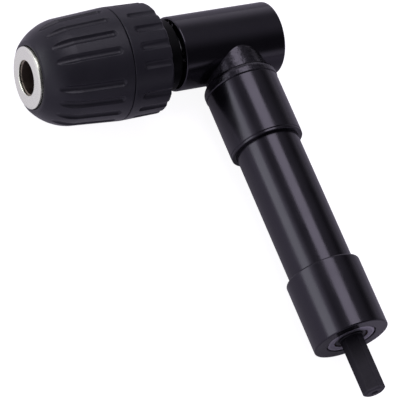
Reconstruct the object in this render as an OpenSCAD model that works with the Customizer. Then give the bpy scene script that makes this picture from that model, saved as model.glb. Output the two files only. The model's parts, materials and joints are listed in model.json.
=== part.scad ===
// Right angle drill attachment. A hex shank turns a long shaft inside the tube, a pair of mitre
// bevel gears in the head turns the drive through a right angle, and the short output spindle
// carries a keyless three-jaw chuck.
// The part lies flat: the chuck points along -X, the shank along -Y, and +Z is the free side.
// The origin is on the shank axis, in the plane of the lower collar's end face.

/* [Head] */
// Outer diameter of the head barrel
head_d = 24; // [23.4:0.2:27]
// Head length from the shank axis to its chuck end
head_front = 19.7; // [19:0.1:23]
// Head length from the shank axis to its closed end
head_rear = 16.5; // [15.9:0.1:20]
// Chamfer round the chuck end of the head
head_chamfer = 0.6; // [0.3:0.1:1]
// Edge radius at the closed end of the head
head_round = 0.8; // [0.4:0.1:1.2]
// Thickness of the cap in the closed end
cap_t = 1.8; // [1.4:0.1:2.2]
// Diameter of the neck under the head
neck_d = 20.4; // [19.4:0.1:21.6]

/* [Body tube] */
// Distance from the chuck axis to the top of the neck's shoulder
shoulder_top = 13; // [12.4:0.1:14]
// Height of the shoulder
shoulder_h = 3.9; // [3.4:0.1:4.6]
// Largest diameter of the shoulder
shoulder_d = 24.4; // [24:0.1:26]
// Radius of the shoulder's rounded top edge
shoulder_round = 2.4; // [1.6:0.1:2.8]
// Diameter of the upper sleeve
sleeve_d = 24; // [23.6:0.1:25.5]
// Length of the upper sleeve
sleeve_len = 21.7; // [19:0.1:28]
// Outer diameter of the main tube
tube_d = 20.8; // [20.2:0.1:21.6]
// Wall of the main tube
tube_wall = 2.2; // [1.5:0.1:3]
// Length of tube that shows between the sleeve and the collar
tube_show = 45.5; // [35:0.5:80]
// Diameter of the lower collar
collar_d = 24.2; // [23.6:0.1:26]
// Length of the lower collar
collar_len = 23.4; // [20:0.1:30]
// Edge radius at the collar's upper end
collar_round = 1.6; // [0.8:0.1:1.6]
// Small edge breaks on the sleeve, shoulder and collar
edge_break = 0.35; // [0.2:0.05:0.5]

/* [Shank] */
// Width of the hex shank across its flats
hex_af = 6.35; // [6:0.05:6.6]
// Length of hex that stands out of the collar
hex_len = 18.4; // [15:0.1:25]
// Chamfer on the hex end, measured across the corners' radius
hex_chamfer = 0.9; // [0.6:0.1:1.2]
// Diameter of the centre hole in the hex end
centre_d = 2; // [1.5:0.1:2.4]
// Depth of the centre hole
centre_depth = 2.5; // [1.5:0.1:4]
// Diameter of the shaft between its bearings
shaft_d = 9.6; // [9:0.1:10.4]

/* [Bearings] */
// Bore of the two input bearings
input_bore = 8; // [7.8:0.1:8.2]
// Outer diameter of the two input bearings
input_od = 16; // [15.8:0.1:16.2]
// Width of the two input bearings
input_w = 5; // [4.6:0.1:5.4]
// Bore of the front output bearing
front_bore = 8; // [7.6:0.1:8.2]
// Outer diameter of the front output bearing
front_od = 19; // [18.4:0.1:19.4]
// Width of the front output bearing
front_w = 6; // [5.6:0.1:6.4]
// Bore of the rear output bearing
rear_bore = 6; // [5.8:0.1:6.2]
// Outer diameter of the rear output bearing
rear_od = 15; // [14.6:0.1:15.4]
// Width of the rear output bearing
rear_w = 5; // [4.6:0.1:5.2]
// Balls in each bearing
ball_count = 9; // [7:1:10]
// Depth of the lower bearing below the collar's face
bearing_recess = 0.2; // [0.1:0.1:1.6]

/* [Bevel gears] */
// Teeth on each mitre gear
gear_teeth = 16; // [14:2:18]
// Pitch diameter at the large end of the teeth
gear_pitch_d = 13.6; // [13.2:0.1:13.8]
// Length of the teeth along the cone
gear_face = 3; // [2.6:0.1:3.2]
// Play between the teeth at the large end
backlash = 0.16; // [0.14:0.01:0.2]
// Length of the hub behind the pitch circle
gear_hub_len = 4.4; // [4.2:0.1:4.6]
// Diameter of the hub
gear_hub_d = 11; // [10:0.1:11.4]
// Diameter of the pins that lock the gears
pin_d = 1.6; // [1.2:0.1:1.8]

/* [Chuck] */
// Gap from the head's end face to the back of the chuck
chuck_gap = 7.3; // [6.5:0.1:9]
// Diameter of the dust collar behind the chuck
dust_d = 23.2; // [22:0.1:23.8]
// Gap between the head and the dust collar
dust_gap = 1.2; // [0.8:0.1:1.6]
// Length of the rear ring
ring_len = 13.7; // [13.2:0.1:15]
// Diameter of the rear ring at its back
ring_rear_d = 35.5; // [35.2:0.1:36.4]
// Diameter of the chuck at the seam between its two sleeves
seam_d = 36.1; // [35.8:0.1:37.4]
// Edge radius at the back of the rear ring
ring_round = 1.1; // [0.6:0.1:1.4]
// Length of the front sleeve
grip_len = 27.7; // [27:0.1:29]
// Length of the front sleeve's straight taper
taper_len = 17.3; // [16.5:0.1:18]
// Diameter at the front end of the taper
taper_d = 33.7; // [33.2:0.1:34.5]
// Diameter of the front sleeve at its nose edge
nose_edge_d = 22.4; // [21.8:0.1:23]
// Diameter of the nose ring
nose_ring_d = 19.6; // [19.2:0.1:19.8]
// Diameter of the drill hole in the nose ring
nose_hole_d = 11.2; // [11:0.1:12]
// How far the nose ring stands ahead of the front sleeve
nose_stand = 1.1; // [0.8:0.1:1.4]
// Width of the shallow bevel on the nose ring's rim
nose_bevel = 0.8; // [0.5:0.1:1.1]
// Height of that bevel
nose_bevel_h = 0.3; // [0.2:0.05:0.5]
// Diameter of the plain bore in the mouth of the chuck body
mouth_d = 10.6; // [10.5:0.1:11]
// Length of the plain bore in the mouth
mouth_len = 3.8; // [3:0.1:3.8]

/* [Flutes] */
// Groups of flutes round each sleeve
flute_groups = 4; // [3:1:5]
// Flutes in each group
flutes_per_group = 4; // [2:1:4]
// Angle between neighbouring flutes
flute_pitch = 19; // [16:0.5:21]
// Width of a flute on the front sleeve
flute_w = 2.5; // [2:0.1:3]
// Depth of a flute on the front sleeve
flute_depth = 0.75; // [0.5:0.05:0.9]
// Distance from the seam to the flutes' round ends
flute_inset = 2.9; // [2.4:0.1:5]
// Distance from the taper's front end to the flutes' tips
flute_fade = 6.8; // [5:0.1:7.5]
// Width of a notch on the rear ring
notch_w = 2.7; // [2:0.1:3.2]
// Depth of a notch on the rear ring, at its round end
notch_depth = 0.85; // [0.5:0.05:1]
// Depth of a notch where it runs out at the ring's back
notch_back_depth = 0.4; // [0.2:0.05:0.8]
// Distance from the seam to the notches' round ends
notch_inset = 3; // [2.4:0.1:4]

/* [Jaws] */
// Diameter of a jaw
jaw_d = 6; // [5.8:0.1:6.1]
// Length of a jaw
jaw_len = 24; // [22:0.5:24.5]
// Slant of the jaws to the chuck axis
jaw_angle = 15; // [15:0.2:16]
// Radius between the open jaws
grip_open = 5.1; // [4.9:0.05:5.15]
// Radius between the closed jaws
grip_closed = 0.4; // [0.35:0.05:0.6]
// How far the closed jaws stand out of the nose
jaw_reach = 0.7; // [0.4:0.1:1.2]
// Length of the split nut
nut_len = 6.6; // [6:0.1:7]
// Diameter of the split nut
nut_d = 28.4; // [28:0.1:28.8]
// Wall of the steel collar round the nut
nut_collar_t = 1.1; // [0.9:0.1:1.2]
// Diameter of the balls under the nut
thrust_ball_d = 2; // [1.8:0.1:2.2]
// Balls under the nut
thrust_balls_n = 20; // [12:1:24]
// Diameter of the chuck body's thrust flange
flange_d = 29.2; // [28.8:0.1:29.6]
// Diameter of the spindle's thread into the chuck
thread_d = 9.5; // [9:0.1:9.6]
// Diameter of the lock screw
screw_d = 5; // [4:0.5:5]
// Diameter of the lock screw's head
screw_head_d = 8.4; // [7.6:0.1:8.6]

/* [Hidden] */
$fn = 64;
overrun = 1;
seat_gap = 0.03;
run_gap = 0.05;
part_gap = 0.3;
seam_gap = 0.2;
flute_turn = -33;
notch_turn = -52;
ball_gap = 0.03;
ball_share = 0.6;
land_share = 0.28;
cage_share = 0.14;
cage_rim = 0.45;
shield_t = 0.3;
clip_t = 1;
clip_deep = 0.5;
clip_mouth = 50;
clip_seat = 0.1;
ear_r = 1.3;
ear_hole_r = 0.5;
ear_rise = 0.3;
ear_lean = 8;
neck_step = 0.25;
seat_break = 0.15;
chamfer_lean = 30;
web_t = 1;
upper_drop = 4.4;
spigot_len = 8.6;
tube_gap = 0.5;
cap_rim = 1.9;
stop_t = 0.8;
shaft_nose = 0.4;
flange_r = 8;
flange_t = 4.7;
spindle_step = 1;
addendum_share = 0.9;
dedendum_share = 1.15;
pressure_angle = 20;
flank_steps = 3;
ring_wall = 1.2;
ring_lip = 0.2;
boss_r = 11;
boss_len = 8.8;
flange_lead = 0.3;
washer_t = 0.7;
washer_in = 1.3;
barrel_r = 11;
journal_r = 9.2;
journal_len = 6.3;
stub_r = 8;
plate_t = 1;
skirt_len = 2.2;
cavity_r = 13.4;
cavity_end_r = 11.4;
cavity_len = 8.8;
tip_rise = 0.2;
split_gap = 0.12;
nut_clear = 0.08;
thread_len = 11.4;
thread_tip = 0.1;
web_front = 1.5;
screw_head_h = 2.6;
screw_len = 10;
screw_room = 0.4;
slot_w = 1.1;
slot_l = 5;
slot_h = 1.1;
bore_slack = 0.1;

// Stations along the shank axis, counted from the chuck axis
sleeve_top = shoulder_top + shoulder_h;
sleeve_end = sleeve_top + sleeve_len;
collar_top = sleeve_end + tube_show;
output_y = collar_top + collar_len;
upper_at = sleeve_top - upper_drop;
upper_end = upper_at + input_w;
spigot_end = sleeve_top + spigot_len;
lower_end = output_y - bearing_recess;
lower_at = lower_end - input_w;
tube_end = lower_at - web_t;
tube_start = spigot_end + tube_gap;
hex_end = output_y + hex_len;

// Stations along the chuck axis, counted from the shank axis
front_end = head_front - clip_t - clip_seat;
front_at = front_end - front_w;
rear_at = -(head_rear - cap_t - clip_seat);
rear_end = rear_at + rear_w;
chuck_at = head_front + chuck_gap;
body_at = chuck_at + ring_lip;
seam_at = chuck_at + ring_len;
grip_at = seam_at + seam_gap;
taper_end = grip_at + taper_len;
grip_end = grip_at + grip_len;
nose_at = grip_end + nose_stand;
flange_back = body_at + boss_len;
flange_front = seam_at + flange_lead;
nut_at = flange_front + washer_t + thrust_ball_d + 2 * ball_gap;
nut_end = nut_at + nut_len;
shoulder_at = nut_end + part_gap;
stub_end = nose_at - plate_t;
stub_at = stub_end - skirt_len;
thread_end = body_at + thread_len;
web_end = thread_end + thread_tip + web_front;
screw_top = web_end + screw_head_h;

// Sphere that the nose of the front sleeve follows
nose_c = (pow(grip_end, 2) + pow(nose_edge_d / 2, 2) - pow(taper_end, 2) - pow(taper_d / 2, 2))
    / (2 * (grip_end - taper_end));
nose_r = sqrt(pow(taper_end - nose_c, 2) + pow(taper_d / 2, 2));

// Jaw slope, travel and the radius of a jaw's axis at station s with the jaws open
jaw_slope = tan(jaw_angle);
jaw_tip = nose_at + jaw_reach - (grip_open - grip_closed) / jaw_slope;
function jaw_axis_r(s) = grip_open + tip_rise + (jaw_tip - s) * jaw_slope;
function jaw_side(gap) = (jaw_d / 2 + gap) / cos(jaw_angle);

hex_r = hex_af / sqrt(3);
front_bore_r = front_od / 2 + seat_gap;
journal_gap = run_gap + seat_gap;
neck_bore_r = input_od / 2 - neck_step;
collar_in_r = nut_d / 2 + seat_gap;
collar_out_r = collar_in_r + nut_collar_t;
thrust_r = jaw_axis_r(flange_front) + jaw_side(0) + washer_in + thrust_ball_d / 4;

// Local z runs along the shank, away from the chuck axis
module on_input() {
    translate([0, output_y, 0]) rotate([90, 0, 0]) children();
}

// Local z runs along the chuck, away from the shank axis; local x is the free side
module on_output() {
    translate([0, output_y, 0]) rotate([0, -90, 0]) children();
}

module bar(r, from, to) {
    translate([0, 0, from]) cylinder(r = r, h = to - from);
}

module ring(r_in, r_out, from, to) {
    difference() {
        bar(r_out, from, to);
        bar(r_in, from - overrun, to + overrun);
    }
}

module cone_bar(r1, r2, from, to) {
    translate([0, 0, from]) cylinder(r1 = r1, r2 = r2, h = to - from);
}

// Outline of a bar from the axis out to r, with a round or a bevel at either end
module bar_outline(r, from, to, round_from = 0, round_to = 0, bevel_from = 0, bevel_to = 0) {
    difference() {
        polygon([
            [0, from], [r - bevel_from, from], [r, from + bevel_from],
            [r, to - bevel_to], [r - bevel_to, to], [0, to]
        ]);
        if (round_from > 0) corner_cut(r, from, round_from, 1);
        if (round_to > 0) corner_cut(r, to, round_to, -1);
    }
}

// Waste outside a rounded corner; side is 1 where the bar lies above the corner and -1 below
module corner_cut(r, at, round, side) {
    difference() {
        translate([r - round, side > 0 ? at - overrun : at - round])
            square([round + overrun, round + overrun]);
        translate([r - round, at + side * round]) circle(r = round);
    }
}

module round_bar(r, from, to, round_from = 0, round_to = 0, bevel_from = 0, bevel_to = 0) {
    rotate_extrude() bar_outline(r, from, to, round_from, round_to, bevel_from, bevel_to);
}

// Open snap ring with an ear and a plier hole at either end of its mouth
module snap_ring(groove_r, land_r, from) {
    bore_r = land_r - clip_deep - clip_t;
    reach = 2 * groove_r;
    translate([0, 0, from]) linear_extrude(clip_t - clip_seat) difference() {
        union() {
            difference() {
                circle(r = groove_r - run_gap);
                circle(r = bore_r);
            }
            snap_ring_ears(bore_r + ear_rise) circle(r = ear_r);
        }
        polygon([[0, 0], [reach, -reach * tan(clip_mouth / 2)], [reach, reach * tan(clip_mouth / 2)]]);
        snap_ring_ears(bore_r + ear_rise) circle(r = ear_hole_r);
    }
}

module snap_ring_ears(at) {
    for (side = [-1, 1]) rotate(side * (clip_mouth / 2 + ear_lean)) translate([at, 0]) children();
}

// Housing

module head_housing() {
    color([0.07, 0.07, 0.075]) difference() {
        union() {
            on_output() head_barrel();
            on_input() neck();
        }
        on_output() {
            bar(front_bore_r, rear_end + stop_t, head_front + overrun);
            bar(front_bore_r + clip_deep, front_end, front_end + clip_t);
            bar(rear_od / 2 - stop_t, rear_end - overrun, rear_end + stop_t + overrun);
            bar(rear_od / 2 + seat_gap, -(head_rear - cap_t), rear_end);
            bar(cap_r() + seat_gap, -head_rear - overrun, -(head_rear - cap_t));
        }
        on_input() {
            bar(neck_bore_r, 0, upper_at + overrun);
            bar(input_od / 2 + seat_gap, upper_at, spigot_end + overrun);
            bar(input_od / 2 + seat_gap + clip_deep, upper_end, upper_end + clip_t);
        }
    }
}

function cap_r() = head_d / 2 - cap_rim;

module head_barrel() {
    round_bar(head_d / 2, -head_rear, head_front, round_from = head_round, bevel_to = head_chamfer);
}

module neck() {
    bar(neck_d / 2, 0, sleeve_top - overrun);
    round_bar(shoulder_d / 2, shoulder_top, sleeve_top, round_from = shoulder_round, bevel_to = edge_break);
    bar(tube_d / 2, sleeve_top - overrun, spigot_end);
}

module head_end_cap() {
    color([0.08, 0.08, 0.085]) on_output()
        round_bar(cap_r(), -head_rear, -(head_rear - cap_t), bevel_from = edge_break);
}

module head_snap_ring() {
    color("dimgray") on_output() snap_ring(front_bore_r + clip_deep, front_bore_r, front_end);
}

module neck_snap_ring() {
    color("dimgray") on_input()
        snap_ring(input_od / 2 + seat_gap + clip_deep, input_od / 2, upper_end);
}

module upper_sleeve() {
    color([0.07, 0.07, 0.075]) on_input() difference() {
        round_bar(sleeve_d / 2, sleeve_top, sleeve_end, bevel_from = edge_break, bevel_to = edge_break);
        bar(tube_d / 2 + seat_gap, sleeve_top - overrun, sleeve_end + overrun);
    }
}

module main_tube() {
    color([0.07, 0.07, 0.075]) on_input()
        ring(tube_d / 2 - tube_wall, tube_d / 2, tube_start, tube_end);
}

module lower_collar() {
    color([0.07, 0.07, 0.075]) on_input() difference() {
        round_bar(collar_d / 2, collar_top, output_y, round_from = collar_round, bevel_to = edge_break);
        bar(tube_d / 2 + seat_gap, collar_top - overrun, tube_end);
        bar(input_od / 2 - web_t, tube_end - overrun, output_y);
        bar(input_od / 2 + seat_gap, lower_at, output_y + overrun);
        cone_bar(input_od / 2 + seat_gap, input_od / 2 + seat_gap + seat_break + overrun,
            output_y - seat_break, output_y + overrun);
    }
}

// Shafts

module input_shaft() {
    color([0.16, 0.16, 0.17]) on_input() difference() {
        union() {
            bar(rear_bore / 2, gear_toe_z() + shaft_nose, gear_back());
            bar(input_bore / 2, gear_back(), output_y);
            bar(shaft_d / 2, upper_end, lower_at);
            intersection() {
                translate([0, 0, output_y]) cylinder(r = hex_r, h = hex_len, $fn = 6);
                cone_bar(hex_r - hex_chamfer + (hex_len + overrun) / tan(chamfer_lean),
                    hex_r - hex_chamfer, output_y - overrun, hex_end);
            }
        }
        bar(centre_d / 2, hex_end - centre_depth, hex_end + overrun);
        gear_pin_hole();
    }
}

module output_spindle() {
    color([0.55, 0.55, 0.57]) on_output() difference() {
        union() {
            bar(rear_bore / 2, rear_at, gear_back());
            bar(front_bore / 2, gear_back(), front_end);
            bar(front_bore / 2 + spindle_step, front_end, body_at - flange_t);
            bar(flange_r, body_at - flange_t, body_at);
            bar(thread_d / 2, body_at - overrun, thread_end);
        }
        bar(screw_d / 2 + seat_gap, thread_end - screw_len, thread_end + overrun);
        gear_pin_hole();
    }
}

// Gears, each about its own axis with the cone's tip at the local origin

function cone_len() = gear_pitch_d / 2 / cos(45);
function toe_share() = (cone_len() - gear_face) / cone_len();
function gear_back() = gear_pitch_d / 2 + gear_hub_len;
function gear_module() = gear_pitch_d / gear_teeth;
function gear_toe_z() = toe_share() * (gear_pitch_d / 2 + dedendum_share * gear_module() * cos(45));
function involute(a) = tan(a) - a * PI / 180;

// Half the angle that a tooth spans at height h above the pitch cone
function tooth_half(h) = let(
    pitch_r = cone_len(),
    r = pitch_r + h,
    lean = acos(min(1, pitch_r * cos(pressure_angle) / r)),
    half = 90 * cos(45) / gear_teeth + (involute(pressure_angle) - involute(lean)) * 180 / PI
) (half * r - backlash / 4 * 180 / PI) / ((gear_pitch_d / 2) + h * cos(45));

function tooth_point(h, angle) = let(r = gear_pitch_d / 2 + h * cos(45))
    [r * cos(angle), r * sin(angle), gear_pitch_d / 2 - h * cos(45)];

function tooth_heights() = [for (i = [0 : flank_steps])
    gear_module() * (-dedendum_share + (addendum_share + dedendum_share) * i / flank_steps)];

function gear_ring() = [for (t = [0 : gear_teeth - 1]) let(turn = 360 * t / gear_teeth) each concat(
    [for (i = [0 : flank_steps]) let(h = tooth_heights()[i]) tooth_point(h, turn - tooth_half(h))],
    [for (i = [flank_steps : -1 : 0]) let(h = tooth_heights()[i]) tooth_point(h, turn + tooth_half(h))]
)];

// The gear with its teeth turned by an angle from the pin hole
module bevel_gear(turn = 0) {
    heel = gear_ring();
    n = len(heel);
    toe = [for (p = heel) p * toe_share()];
    heel_mid = [0, 0, gear_pitch_d / 2 + dedendum_share * gear_module() * cos(45)];
    points = concat(heel, toe, [heel_mid, heel_mid * toe_share()]);
    faces = concat(
        [for (i = [0 : n - 1]) [i, (i + 1) % n, n + (i + 1) % n]],
        [for (i = [0 : n - 1]) [i, n + (i + 1) % n, n + i]],
        [for (i = [0 : n - 1]) [2 * n, (i + 1) % n, i]],
        [for (i = [0 : n - 1]) [2 * n + 1, n + i, n + (i + 1) % n]]
    );
    difference() {
        union() {
            rotate(turn) polyhedron(points, faces);
            bar(gear_hub_d / 2, gear_pitch_d / 2, gear_back());
        }
        bar(rear_bore / 2 + seat_gap, 0, gear_back() + overrun);
        gear_pin_hole();
    }
}

function pin_at() = gear_back() - gear_hub_len / 2 + pin_d / 4;

module gear_pin_hole() {
    translate([0, 0, pin_at()]) rotate([90, 0, 0])
        cylinder(r = pin_d / 2 + seat_gap, h = gear_hub_d + 2 * overrun, center = true);
}

module gear_pin() {
    translate([0, 0, pin_at()]) rotate([90, 0, 0])
        cylinder(r = pin_d / 2, h = gear_hub_d - part_gap, center = true);
}

module input_bevel_gear() {
    color("gray") on_input() bevel_gear();
}

module output_bevel_gear() {
    color("gray") on_output() bevel_gear(180 / gear_teeth);
}

module input_gear_pin() {
    color("silver") on_input() gear_pin();
}

module output_gear_pin() {
    color("silver") on_output() gear_pin();
}

// Bearings, each between the stations from and from + w on the local z axis

function pitch_of(bore, od) = (bore + od) / 4;
function ball_of(bore, od) = ball_share * (od - bore) / 2;
function land_of(bore, od) = land_share * (od - bore) / 2;

module ball_track(bore, od, w, from) {
    rotate_extrude() translate([pitch_of(bore, od), from + w / 2])
        circle(r = ball_of(bore, od) / 2 + ball_gap);
}

module bearing_outer(bore, od, w, from) {
    color("silver") difference() {
        ring(od / 2 - land_of(bore, od), od / 2, from, from + w);
        ball_track(bore, od, w, from);
    }
}

module bearing_inner(bore, od, w, from) {
    color("silver") difference() {
        ring(bore / 2 + seat_gap, bore / 2 + land_of(bore, od), from, from + w);
        ball_track(bore, od, w, from);
    }
}

module bearing_ball_places(bore, od, w, from) {
    for (i = [0 : ball_count - 1])
        rotate(360 * i / ball_count) translate([pitch_of(bore, od), 0, from + w / 2]) children();
}

module bearing_balls(bore, od, w, from) {
    color("lightgray") bearing_ball_places(bore, od, w, from)
        sphere(r = ball_of(bore, od) / 2, $fn = 24);
}

module bearing_cage(bore, od, w, from) {
    half_t = cage_share * (od - bore) / 2;
    half_w = ball_of(bore, od) / 2 + cage_rim;
    color("goldenrod") difference() {
        ring(pitch_of(bore, od) - half_t, pitch_of(bore, od) + half_t,
            from + w / 2 - half_w, from + w / 2 + half_w);
        bearing_ball_places(bore, od, w, from) rotate([0, 90, 0])
            cylinder(r = ball_of(bore, od) / 2 + run_gap, h = half_t * 2 + overrun, center = true);
    }
}

// Metal shield pressed into the outer ring, clear of the inner one
module bearing_shield(bore, od, from) {
    color("lightgray") ring(bore / 2 + land_of(bore, od) + part_gap,
        od / 2 - land_of(bore, od) - seat_gap, from, from + shield_t);
}

module lower_bearing_outer() {
    on_input() bearing_outer(input_bore, input_od, input_w, lower_at);
}

module lower_bearing_inner() {
    on_input() bearing_inner(input_bore, input_od, input_w, lower_at);
}

module lower_bearing_balls() {
    on_input() bearing_balls(input_bore, input_od, input_w, lower_at);
}

module lower_bearing_cage() {
    on_input() bearing_cage(input_bore, input_od, input_w, lower_at);
}

module lower_bearing_shield() {
    on_input() bearing_shield(input_bore, input_od, lower_end - shield_t);
}

module upper_bearing_outer() {
    on_input() bearing_outer(input_bore, input_od, input_w, upper_at);
}

module upper_bearing_inner() {
    on_input() bearing_inner(input_bore, input_od, input_w, upper_at);
}

module upper_bearing_balls() {
    on_input() bearing_balls(input_bore, input_od, input_w, upper_at);
}

module upper_bearing_cage() {
    on_input() bearing_cage(input_bore, input_od, input_w, upper_at);
}

module front_bearing_outer() {
    on_output() bearing_outer(front_bore, front_od, front_w, front_at);
}

module front_bearing_inner() {
    on_output() bearing_inner(front_bore, front_od, front_w, front_at);
}

module front_bearing_balls() {
    on_output() bearing_balls(front_bore, front_od, front_w, front_at);
}

module front_bearing_cage() {
    on_output() bearing_cage(front_bore, front_od, front_w, front_at);
}

module front_bearing_shield() {
    on_output() bearing_shield(front_bore, front_od, front_end - shield_t);
}

module rear_bearing_outer() {
    on_output() bearing_outer(rear_bore, rear_od, rear_w, rear_at);
}

module rear_bearing_inner() {
    on_output() bearing_inner(rear_bore, rear_od, rear_w, rear_at);
}

module rear_bearing_balls() {
    on_output() bearing_balls(rear_bore, rear_od, rear_w, rear_at);
}

module rear_bearing_cage() {
    on_output() bearing_cage(rear_bore, rear_od, rear_w, rear_at);
}

// Chuck

module dust_collar() {
    color([0.03, 0.03, 0.03]) on_output() difference() {
        round_bar(dust_d / 2, head_front + dust_gap, chuck_at - bore_slack,
            bevel_from = edge_break, bevel_to = edge_break);
        bar(flange_r + seat_gap, body_at - flange_t, chuck_at + overrun);
        bar(front_bore / 2 + spindle_step + seat_gap, head_front, body_at - flange_t + overrun);
    }
}

// Slanted bore or jaw, as long as needed, for a jaw in the plane at the given turn
module slanted_bar(r, turn, from, to) {
    rotate(turn) translate([jaw_axis_r(jaw_tip), 0, jaw_tip]) rotate([0, -jaw_angle, 0])
        bar(r, from, to);
}

module jaw_turns() {
    for (i = [0 : 2]) rotate(120 * i) children();
}

module chuck_body() {
    color([0.5, 0.5, 0.52]) on_output() difference() {
        rotate_extrude() polygon([
            [0, body_at], [boss_r, body_at], [boss_r, flange_back], [flange_d / 2, flange_back],
            [flange_d / 2, flange_front],
            [groove_r(flange_front) + neck_room(), flange_front],
            [groove_r(nut_at) + neck_room(), nut_at - part_gap],
            [groove_r(nut_at), nut_at - part_gap],
            [groove_r(shoulder_at), shoulder_at],
            [barrel_r, shoulder_at], [journal_r, stub_at - journal_len - overrun],
            [journal_r, stub_at], [stub_r, stub_at], [stub_r, stub_end], [0, stub_end]
        ]);
        bar(thread_d / 2 + seat_gap, body_at - overrun, thread_end + thread_tip);
        bar(screw_d / 2 + bore_slack, body_at, web_end + overrun);
        bar(screw_head_d / 2 + part_gap, web_end, stub_end);
        bar(grip_open + seat_gap, screw_top + screw_room, stub_end);
        bar(mouth_d / 2, stub_end - mouth_len, stub_end + overrun);
        jaw_turns() slanted_bar(jaw_d / 2 + run_gap, 0, -2 * jaw_len, 2 * jaw_len);
    }
}

function groove_r(s) = jaw_axis_r(s) + jaw_side(0) - part_gap;
function neck_room() = part_gap / 2;

// Flute cutter: the part above a floor line, as wide as the flute, with a round end at the
// station named round_at; the other end lies at the station named open_at
module flute_cut(w, round_at, open_at, floor_line) {
    side = open_at > round_at ? 1 : -1;
    middle = round_at + side * w / 2;
    outside = [[seam_d, open_at + side * overrun], [seam_d, round_at - side * overrun]];
    intersection() {
        rotate([90, 0, 90]) linear_extrude(seam_d) {
            translate([0, middle]) circle(d = w);
            translate([-w / 2, min(middle, open_at)]) square([w, abs(open_at - middle)]);
        }
        rotate([90, 0, 0]) linear_extrude(2 * w, center = true) polygon(concat(floor_line, outside));
    }
}

module flute_places(turn) {
    for (g = [0 : flute_groups - 1])
        for (i = [0 : flutes_per_group - 1])
            rotate(turn + 360 * (g + 1 / 2) / flute_groups + flute_pitch * (i - (flutes_per_group - 1) / 2))
                children();
}

// The floor follows the taper, then turns inward until the flute runs out on the nose
module front_flute() {
    slope = (seam_d - taper_d) / 2 / taper_len;
    start = taper_len - flute_inset + overrun;
    fade_r = sqrt(pow(nose_r, 2) - pow(taper_end + flute_fade - nose_c, 2));
    fade_slope = (taper_d / 2 - flute_depth - fade_r) / flute_fade;
    past = flute_fade + overrun;
    flute_cut(flute_w, grip_at + flute_inset, taper_end + past, [
        [taper_d / 2 + start * slope - flute_depth, taper_end - start],
        [taper_d / 2 - flute_depth, taper_end],
        [taper_d / 2 - flute_depth - past * fade_slope, taper_end + past]
    ]);
}

module chuck_front_sleeve() {
    color([0.12, 0.12, 0.13]) on_output() difference() {
        rotate_extrude() {
            polygon([[0, grip_at], [seam_d / 2 - edge_break, grip_at], [seam_d / 2, grip_at + edge_break],
                [taper_d / 2, taper_end], [0, taper_end]]);
            intersection() {
                translate([0, nose_c]) circle(r = nose_r);
                translate([0, taper_end]) square([taper_d, grip_end - taper_end]);
            }
        }
        bar(collar_out_r + seat_gap, grip_at - overrun, nut_end + part_gap);
        cone_bar(cavity_r, cavity_end_r, nut_end, nut_end + cavity_len);
        bar(journal_r + journal_gap, nut_end + cavity_len - overrun, grip_end);
        bar(nose_ring_d / 2 + seam_gap, stub_at - seam_gap, grip_end + overrun);
        flute_places(flute_turn) front_flute();
    }
}

// Radius of a notch's floor at the distance d from the seam; it rises towards the ring's back
function notch_floor_r(d) = seam_d / 2 - notch_depth - d * (seam_d - ring_rear_d) / 2 / ring_len
    + (d - notch_inset) * (notch_depth - notch_back_depth) / (ring_len - notch_inset);

module rear_notch() {
    near = notch_inset - overrun;
    far = ring_len + overrun;
    flute_cut(notch_w, seam_at - notch_inset, chuck_at - overrun,
        [[notch_floor_r(near), seam_at - near], [notch_floor_r(far), chuck_at - overrun]]);
}

module chuck_rear_ring() {
    color([0.12, 0.12, 0.13]) on_output() difference() {
        rotate_extrude() difference() {
            polygon([[0, chuck_at], [ring_rear_d / 2, chuck_at], [seam_d / 2, seam_at - edge_break],
                [seam_d / 2 - edge_break, seam_at], [0, seam_at]]);
            corner_cut(ring_rear_d / 2, chuck_at, ring_round, 1);
        }
        bar(boss_r + seat_gap, chuck_at - overrun, seam_at);
        bar(flange_d / 2 + part_gap, chuck_at + ring_wall, flange_back);
        bar(flange_d / 2 + seat_gap, flange_back - overrun, seam_at + overrun);
        flute_places(notch_turn) rear_notch();
    }
}

module nose_ring() {
    color([0.75, 0.75, 0.76]) on_output() difference() {
        rotate_extrude() polygon([
            [0, stub_at + seam_gap], [nose_ring_d / 2, stub_at + seam_gap],
            [nose_ring_d / 2, nose_at - nose_bevel_h], [nose_ring_d / 2 - nose_bevel, nose_at], [0, nose_at]
        ]);
        bar(stub_r + seat_gap, stub_at, stub_end);
        bar(nose_hole_d / 2, stub_end - overrun, nose_at + overrun);
        cone_bar(nose_hole_d / 2, nose_hole_d / 2 + edge_break + overrun,
            nose_at - edge_break, nose_at + overrun);
    }
}

module nut_blank() {
    difference() {
        bar(nut_d / 2, nut_at, nut_end);
        cone_bar(
            jaw_axis_r(nut_at - overrun) + jaw_side(nut_clear),
            jaw_axis_r(nut_end + overrun) + jaw_side(nut_clear),
            nut_at - overrun, nut_end + overrun
        );
    }
}

// One half of the nut, on the side of local y that the sign gives
module nut_half(side) {
    color("goldenrod") on_output() intersection() {
        nut_blank();
        translate([-nut_d, side > 0 ? split_gap / 2 : -nut_d - split_gap / 2, nut_at - overrun])
            cube([2 * nut_d, nut_d, nut_len + 2 * overrun]);
    }
}

module nut_half_a() {
    nut_half(1);
}

module nut_half_b() {
    nut_half(-1);
}

module nut_collar() {
    color("gray") on_output() ring(collar_in_r, collar_out_r, nut_at, nut_end);
}

module thrust_washer() {
    color("silver") on_output()
        ring(thrust_r - thrust_ball_d * ball_share, flange_d / 2, flange_front, flange_front + washer_t);
}

module thrust_places() {
    for (i = [0 : thrust_balls_n - 1])
        rotate(360 * i / thrust_balls_n)
            translate([thrust_r, 0, flange_front + washer_t + ball_gap + thrust_ball_d / 2]) children();
}

module thrust_balls() {
    color("lightgray") on_output() thrust_places() sphere(r = thrust_ball_d / 2, $fn = 24);
}

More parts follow.
